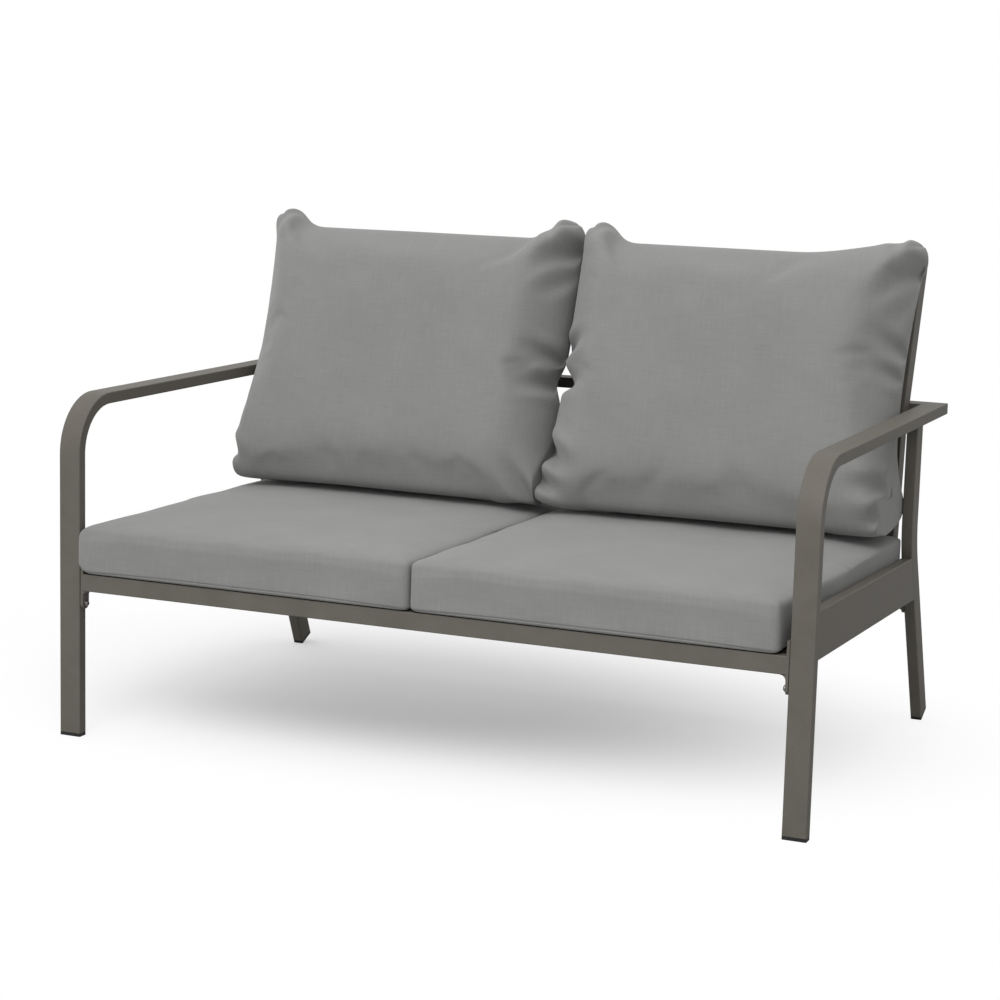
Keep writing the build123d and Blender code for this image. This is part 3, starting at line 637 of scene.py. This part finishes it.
def back_sheet(wide, side, ears):
    """The cushion before it is blown up, as rings round its front-to-back outline, one for each step
    across: its points across, out and up, its faces, and each face corner's place on the cloth. Its
    thickness falls to the seam where either the outline's or the side's fullness does, the two joined by
    their powers to minus PLUMP, and a ball swells each top corner into an ear; ears holds where the top
    begins to rise into the inner and the outer ear, as shares of half the width."""
    (front_out, front_up), _ = profile(FRONT_FOOT, FRONT_HEAD)
    (rear_out, rear_up), length = profile(REAR_FOOT, REAR_HEAD)
    bottom, top = front_up[0], front_up[-1]
    seam_up = bottom + (top - bottom) * np.linspace(0, 1, RING_STEPS + 1)
    ring_out, ring_up, ring_seam = (np.concatenate([there, back[-2:0:-1]]) for there, back in (
        (front_out, rear_out), (front_up, rear_up), (seam_up, seam_up)))

    turn = np.linspace(-1, 1, round(wide / CELL) + 1) * math.pi / 2 * CROWDING
    share = np.sin(turn) / math.sin(math.pi / 2 * CROWDING)
    across = share * wide / 2
    from_side = np.maximum(wide / 2 - np.abs(across), 0)[:, None]
    tall = np.clip((ring_up - bottom) / (top - bottom), 0, 1)[None]
    foot = np.where(ring_out < seam_out, BACK_SHOULDER_REAR, BACK_SHOULDER_LOW)[None]
    outer = foot + (BACK_SHOULDER - foot) * ease(tall, SHOULDER_FROM, SHOULDER_FULL)
    shoulder = np.where(across[:, None] * side > 0, outer, BACK_SHOULDER_INNER)
    swell = np.abs(ring_out - seam_out) / BACK_HALF
    with np.errstate(divide="ignore"):
        both = (fullness(from_side / shoulder) ** -PLUMP + swell[None] ** -PLUMP - 1) ** (-1 / PLUMP)

    flatness = (1 - fullness(from_side / BACK_SHOULDER)) ** 2
    up = ring_up[None] * (1 - flatness) + ring_seam[None] * flatness
    x = np.repeat(across[:, None], len(ring_out), 1)
    ball = np.maximum(EAR ** 2 - (wide / 2 - EAR - np.abs(x)) ** 2 - (top - EAR - up) ** 2, 0) ** 0.5
    outward = np.sign(ring_out - seam_out)[None]
    thick = ((both * BACK_HALF) ** 3 + ball ** 3) ** (1 / 3)
    out = seam_out + outward * np.maximum(thick, BACK_EDGE * (np.abs(outward) > 0))

    x, up = rounded_corners(x, up, wide, bottom, top)
    height = np.clip((up - bottom) / (top - bottom), 0, 1)
    waist = BACK_WAIST * (4 * height * (1 - height)) * (np.sign(share)[:, None] == side)
    x -= np.sign(x) * waist * np.abs(share[:, None]) ** 3
    ear = ease(np.abs(share), np.where(share * side > 0, ears[1], ears[0]), EAR_TOP)
    up -= BACK_DIP * ease(height, DIP_FROM, 1) * (1 - ear)[:, None]
    return np.stack([x.ravel(), out.ravel(), up.ravel()], 1), *sheet_faces(across, length)


def crease(x, up, begin, stop, width, deep):
    """Depth at each point of a crease from begin to stop: deepest at the one, gone at the other, a bell
    across, less a low lip on each side."""
    run = np.array(stop) - np.array(begin)
    length = np.hypot(*run)
    along = ((x - begin[0]) * run[0] + (up - begin[1]) * run[1]) / length
    across = ((x - begin[0]) * run[1] - (up - begin[1]) * run[0]) / length / width
    fade = ease(1 - along / length) * ease(1 + along / (2 * width))
    return deep * fade * (bell(across) - CREASE_LIP * bell(np.abs(across) - 2))


def press_together(local, wide, side, tuck):
    """Widens the cushion until it presses on its neighbour and evens out its height, opens the window in
    its inner side, spreads the feet that are free to, and lifts the ears. Window, feet and ears are bells
    of the distance. Returns each point's share of the height."""
    local[:, 0] *= (wide + BACK_PRESS) / np.ptp(local[:, 0])
    local[:, 0] -= (local[:, 0].min() + local[:, 0].max()) / 2 + side * BACK_PRESS / 2
    local[:, 2] += (back_top - local[:, 2].max()) * ease(local[:, 2], back_bottom, back_top)
    height = (local[:, 2] - back_bottom) / BACK_TALL
    inner = ease(-side * local[:, 0] / (wide / 2), WINDOW_FROM, 1)
    local[:, 0] += side * WINDOW_DEEP * inner * bell((height - WINDOW_UP) / WINDOW_TALL)
    spread = FOOT_SPREAD * bell(height / FOOT_TALL) * ((local[:, 0] * side < 0) | (tuck == 0))
    local[:, 0] += np.sign(local[:, 0]) * spread * ease(np.abs(local[:, 0]) / (wide / 2), FOOT_FROM, 1)
    from_ear = (np.abs(local[:, 0]) + EAR / 2 - wide / 2) ** 2 + (local[:, 2] - back_top) ** 2
    local[:, 2] += EAR_RISE * np.exp(-from_ear / EAR ** 2)
    return height


def crease_front(local, wide, creases, seed):
    """Presses the creases and the slow sag into the front; a crease's ends are shares of half the width and
    of the height."""
    front = ease(local[:, 1] - seam_out, *CREASED)
    x, up = local[:, 0], local[:, 2]
    for begin, stop, width, deep in creases:
        ends = [(across * wide / 2, back_bottom + rise * BACK_TALL) for across, rise in (begin, stop)]
        local[:, 1] -= crease(x, up, *ends, width, deep) * front
    local[:, 1] += slow_noise(local, SAG_LONG, seed) * BACK_SAG * front


def hold_off(local, box, side, tuck, height):
    """The cushion's place in the loveseat, with its points brought forward of the posts, up onto the seat
    and in from the arm and the leg, towards which its foot presses; its inner side is cut off where the two
    cushions meet."""
    below_knee = np.maximum(KNEE_UP - local[:, 2], 0)
    local[:, 1] = np.maximum(local[:, 1], POST_DEEP - below_knee * math.tan(KNEE_TURN))
    local[:, 2] = np.maximum(local[:, 2], seat_line(local[:, 1]))
    low, high = box
    points = place_back(local, (high[0] + low[0]) / 2)
    _, arm_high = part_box("right_arm_leg")
    leg_low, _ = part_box("right_rear_leg")
    inside = leg_low[0] - ARM_GAP
    widest = max(abs(low[0]), abs(high[0]))
    reach = inside + (widest - inside) * ease(points[:, 2] - arm_high[2], *OVER_ARM)
    reach -= tuck * bell((height - TUCK_UP) / TUCK_TALL)
    short = reach - side * points[:, 0]
    press = ease(height, PRESS_END, PRESS_FULL) * ease((FOOT_DEEP - short) / FOOT_DEEP * PRESS_EASE)
    points[:, 0] += side * FOOT_PRESS * press * np.clip(short, 0, FOOT_DEEP)
    meet = np.interp((local[:, 2] - back_bottom) / BACK_TALL, *np.array(MEET).T)
    points[:, 0] = side * np.clip(side * points[:, 0], side * meet + BACK_BETWEEN, reach)
    return points


def back_cushion(name, node, side, tuck, ears, creases, seed):
    """A back cushion, blown up, pressed on its neighbour, creased, and held off what stands round it; side
    is -1 for the left one, and tuck is how far its outer foot is drawn in."""
    low, high = (np.array(corner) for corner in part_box(node))
    wide = high[0] - low[0]
    middle = (high[0] + low[0]) / 2
    sheet, faces, flat = back_sheet(wide, side, ears)
    made = cushion_piece(name, place_back(sheet, middle), faces, flat)
    puff(made, BACK_PUFF, np.ones(len(sheet)))
    from_rail = points_of(made.data) - back_origin
    local = np.stack([from_rail[:, 0] - middle, from_rail @ back_out, from_rail @ back_up], 1)
    height = press_together(local, wide, side, tuck)
    crease_front(local, wide, creases, seed)
    put_points(made, hold_off(local, (low, high), side, tuck, height))
    finish_cushion(made, node)


# Each crease: where it is deepest, where it has gone, its half width and its depth.
LEFT_CREASES = (
    ((1.0, 0.50), (0.78, 0.54), 0.012, 0.034),
    ((1.0, 0.42), (0.76, 0.39), 0.012, 0.034),
    ((1.0, 0.90), (0.78, 0.76), 0.015, 0.036),
    ((0.98, 0.80), (0.84, 0.68), 0.013, 0.022),
    ((-1.0, 0.13), (-0.72, 0.04), 0.012, 0.040),
    ((0.96, 0.02), (0.80, 0.16), 0.012, 0.026),
    ((-0.82, 1.0), (-0.92, 0.86), 0.012, 0.018),
    ((0.80, 1.0), (0.90, 0.88), 0.012, 0.022),
)
RIGHT_CREASES = (
    ((-1.0, 0.54), (-0.78, 0.59), 0.013, 0.036),
    ((-1.0, 0.44), (-0.76, 0.40), 0.012, 0.034),
    ((-1.0, 0.20), (-0.76, 0.10), 0.014, 0.040),
    ((-1.0, 0.09), (-0.82, 0.03), 0.011, 0.028),
    ((0.96, 0.90), (0.74, 0.72), 0.015, 0.034),
    ((0.96, 0.82), (0.84, 0.66), 0.012, 0.022),
    ((1.0, 0.58), (0.74, 0.68), 0.013, 0.038),
    ((1.0, 0.52), (0.78, 0.55), 0.012, 0.032),
    ((1.0, 0.16), (0.70, 0.14), 0.014, 0.044),
    ((1.0, 0.08), (0.76, 0.02), 0.012, 0.030),
    ((0.82, 1.0), (0.88, 0.88), 0.012, 0.018),
    ((-0.84, 1.0), (-0.94, 0.90), 0.011, 0.014),
)
back_cushion("left_back_pillow", "left_back_cushion", -1, 0.022, (0.64, 0.66), LEFT_CREASES, 21)
back_cushion("right_back_pillow", "right_back_cushion", 1, 0.0, (0.66, 0.25), RIGHT_CREASES, 22)


# Floor and light of the studio: a pale floor under a soft white sky, brighter overhead, and one large soft
# lamp high in front. The camera sees the sky as plain white. The floor keeps the loveseat's shadow, but to
# the camera it also gives off painted light, weakest in an oval round the loveseat and stronger with distance
# until the floor is the same white. This painted light makes the shadow lighter and cuts it short at its
# edges.
FLOOR_WHITE = "F9F9F9"
FLOOR_BOUNCE = "B8B8B8"
FLOOR_REACH = 60.0
# The oval of painted light on the floor: its middle and shape, the distance where the painted light is
# weakest, the distance where it makes the floor plain white, and its weakest share.
SHADOW_MIDDLE = (-0.35, 0.15, 0.0)
SHADOW_SHAPE = (1.0, 0.55, 1.0)
SHADOW_CORE = 0.35
SHADOW_END = 1.4
SHADOW_FADE = 0.33

floor_paint = new_material("pale_studio_floor")
ray = add(floor_paint, "ShaderNodeLightPath")
tint = add(floor_paint, "ShaderNodeMix", {"Factor": ray.outputs["Is Camera Ray"], 6: linear(FLOOR_BOUNCE),
                                          7: linear(FLOOR_WHITE)}, data_type="RGBA")
paint = add(floor_paint, "ShaderNodeBsdfDiffuse", {"Color": tint.outputs[2]})
# Painted light: an emission seen only by the camera, mixed in by the share below, lightens the floor and the
# loveseat's shadow on it.
glow = add(floor_paint, "ShaderNodeEmission", {"Color": (1, 1, 1, 1), "Strength": 1.0})
place = add(floor_paint, "ShaderNodeTexCoord")
oval = add(floor_paint, "ShaderNodeMapping", {"Vector": place.outputs["Object"], "Location": SHADOW_MIDDLE,
                                              "Scale": SHADOW_SHAPE}, vector_type="TEXTURE")
away = add(floor_paint, "ShaderNodeVectorMath", {0: oval.outputs[0]}, operation="LENGTH")
white = add(floor_paint, "ShaderNodeMapRange", {"Value": away.outputs["Value"], "From Min": SHADOW_CORE,
                                                "From Max": SHADOW_END, "To Min": SHADOW_FADE},
            interpolation_type="SMOOTHSTEP")
share = add(floor_paint, "ShaderNodeMath", {0: ray.outputs["Is Camera Ray"], 1: white.outputs[0]},
            operation="MULTIPLY")
surface(floor_paint, add(floor_paint, "ShaderNodeMixShader", {0: share.outputs[0], 1: paint.outputs[0],
                                                              2: glow.outputs[0]}))
floor_mesh = bpy.data.meshes.new("studio_floor")
floor_corners = [(x * FLOOR_REACH, y * FLOOR_REACH, 0) for x, y in ((-1, -1), (1, -1), (1, 1), (-1, 1))]
floor_mesh.from_pydata(floor_corners, [], [(0, 1, 2, 3)])
floor_mesh.materials.append(floor_paint)
floor = bpy.data.objects.new("studio_floor", floor_mesh)
bpy.context.scene.collection.objects.link(floor)

# The sky's strength runs from SKY_SIDE at the horizon to SKY_TOP overhead. It gains SKY_FRONT in front of
# the loveseat and SKY_LEFT on its left, and loses as much behind it and on its right.
SKY_TOP = 1.05
SKY_SIDE = 0.54
SKY_FRONT = 0.33
SKY_LEFT = 0.32

world = bpy.data.worlds.new("studio_sky")
bpy.context.scene.world = world
world.use_nodes = True
world.node_tree.nodes.clear()
heading = add(world, "ShaderNodeTexCoord")
parts = add(world, "ShaderNodeSeparateXYZ", {0: heading.outputs["Generated"]})
above = add(world, "ShaderNodeMapRange", {"Value": parts.outputs["Z"], "From Min": 0.0, "From Max": 1.0,
                                          "To Min": SKY_SIDE, "To Max": SKY_TOP})
ahead = add(world, "ShaderNodeMath", {0: parts.outputs["Y"], 1: -SKY_FRONT, 2: above.outputs[0]},
            operation="MULTIPLY_ADD")
beside = add(world, "ShaderNodeMath", {0: parts.outputs["X"], 1: -SKY_LEFT, 2: ahead.outputs[0]},
             operation="MULTIPLY_ADD")
sky = add(world, "ShaderNodeBackground", {"Color": (1, 1, 1, 1), "Strength": beside.outputs[0]})
plain = add(world, "ShaderNodeBackground", {"Color": (1, 1, 1, 1), "Strength": 1.0})
ray = add(world, "ShaderNodeLightPath")
seen = add(world, "ShaderNodeMath", {0: ray.outputs["Is Camera Ray"], 1: ray.outputs["Is Glossy Ray"]},
           operation="MAXIMUM")
clear = add(world, "ShaderNodeMath", {0: seen.outputs[0], 1: ray.outputs["Is Transmission Ray"]},
            operation="MAXIMUM")
mixed = add(world, "ShaderNodeMixShader", {0: clear.outputs[0], 1: sky.outputs[0], 2: plain.outputs[0]})
add(world, "ShaderNodeOutputWorld", {"Surface": mixed.outputs[0]})

LAMP_POWER = 70.0
LAMP_WIDE = 2.5
LAMP_PLACE = Vector((0.2, -3.0, 3.4))
lamp = bpy.data.objects.new("key_lamp", bpy.data.lights.new("key_lamp", "AREA"))
lamp.data.energy = LAMP_POWER
lamp.data.shape = "DISK"
lamp.data.size = LAMP_WIDE
lamp.matrix_world = Matrix.Translation(LAMP_PLACE) @ LAMP_PLACE.to_track_quat("Z", "Y").to_matrix().to_4x4()
bpy.context.scene.collection.objects.link(lamp)

bpy.context.scene.view_settings.view_transform = "Standard"


# Camera at the photograph's place, found from the frame's edges: in front on the right, 1.14 m up and about
# 3.7 m from the front right corner, above the cushions' tops, turned left and tilted down a little.
TURN, TILT, ROLL = (math.radians(angle) for angle in (22.70, 9.49, 1.54))
EYE = Vector((1.644, -4.0132, 1.138))
LENS = 88.9
SENSOR = 36.0

look = Vector((-math.sin(TURN) * math.cos(TILT), math.cos(TURN) * math.cos(TILT), -math.sin(TILT)))
right = Vector((math.cos(TURN), math.sin(TURN), 0))
up = right.cross(look)
right, up = (right * math.cos(ROLL) + up * math.sin(ROLL), up * math.cos(ROLL) - right * math.sin(ROLL))
camera = bpy.data.objects.new("camera", bpy.data.cameras.new("camera"))
camera.data.lens = LENS
camera.data.sensor_width = SENSOR
camera.data.clip_end = FLOOR_REACH
camera.matrix_world = Matrix.Translation(EYE) @ Matrix((right, up, -look)).transposed().to_4x4()
bpy.context.scene.collection.objects.link(camera)
bpy.context.scene.camera = camera
